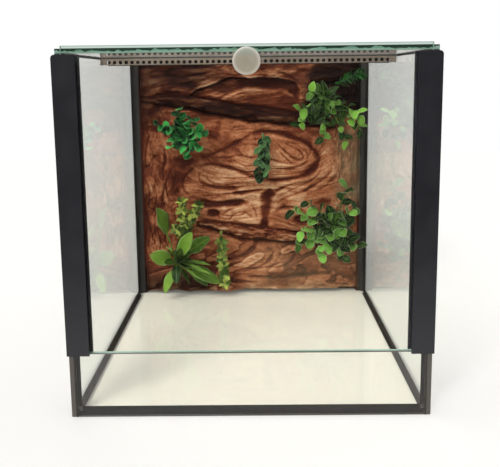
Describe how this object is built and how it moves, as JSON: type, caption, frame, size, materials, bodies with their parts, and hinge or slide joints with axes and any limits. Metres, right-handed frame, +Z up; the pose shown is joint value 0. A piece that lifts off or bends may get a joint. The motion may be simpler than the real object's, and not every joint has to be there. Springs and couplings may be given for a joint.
{
  "type": "glass terrarium",
  "caption": "Frameless glass terrarium with a glass door that lifts in upright side rails, a perforated vent strip in its top and a planted rock background",
  "frame": {"origin": "middle of the base pane's underside, which stands on the shelf", "axes": "+Z up, the door faces -Y, +X to the right of someone who faces the door"},
  "size_m": [0.3024, 0.3137, 0.3068],
  "materials": {
    "float_glass": "clear float glass with seamed edges and a green edge colour",
    "black_silicone": "satin black silicone sealant",
    "perforated_aluminium": "mill-finish perforated sheet",
    "black_plastic": "satin extruded plastic",
    "adhesive_pad": "clear foam adhesive",
    "smoky_plastic": "translucent grey-brown turned plastic",
    "painted_foam": "carved foam with a sealed, dry-brushed brown coat",
    "emerald_leaf": "moulded plastic with a soft sheen",
    "dark_leaf": "moulded plastic with a soft sheen",
    "bright_leaf": "moulded plastic with a soft sheen",
    "variegated_leaf": "moulded plastic, green with pale margins",
    "floret": "moulded plastic with a soft sheen",
    "broad_leaf": "moulded plastic with a soft sheen"
  },
  "bodies": {
    "tank": {"base_pane": "float_glass", "left_side_pane": "float_glass", "right_side_pane": "float_glass", "back_pane": "float_glass", "front_sill_pane": "float_glass", "top_front_pane": "float_glass", "top_rear_pane": "float_glass", "base_left_seam": "black_silicone", "base_right_seam": "black_silicone", "base_front_seam": "black_silicone", "base_back_seam": "black_silicone", "sill_left_seam": "black_silicone", "sill_right_seam": "black_silicone", "rear_left_seam": "black_silicone", "rear_right_seam": "black_silicone", "top_front_left_seam": "black_silicone", "top_front_right_seam": "black_silicone", "top_rear_left_seam": "black_silicone", "top_rear_right_seam": "black_silicone", "top_back_seam": "black_silicone", "vent_front_bond": "black_silicone", "vent_rear_bond": "black_silicone", "vent_strip": "perforated_aluminium", "left_door_rail": "black_plastic", "right_door_rail": "black_plastic", "round_leaf_plant": "emerald_leaf", "hanging_sprig": "dark_leaf", "pointed_leaf_sprigs": "bright_leaf", "fern_sprig": "dark_leaf", "variegated_bush": "variegated_leaf", "floret_spray": "floret", "floret_trail": "floret", "broad_leaf_plant": "broad_leaf", "rock_background": "painted_foam", "rock_left_seal": "black_silicone", "rock_right_seal": "black_silicone", "rock_adhesive": "black_silicone"},
    "door": {"door_pane": "float_glass", "knob_pad": "adhesive_pad", "door_knob": "smoky_plastic"}
  },
  "joints": [
    {"name": "door_slide", "type": "slide", "parent": "tank", "child": "door", "axis": [0, 0, 1], "range_m": [0, 0.235]}
  ]
}
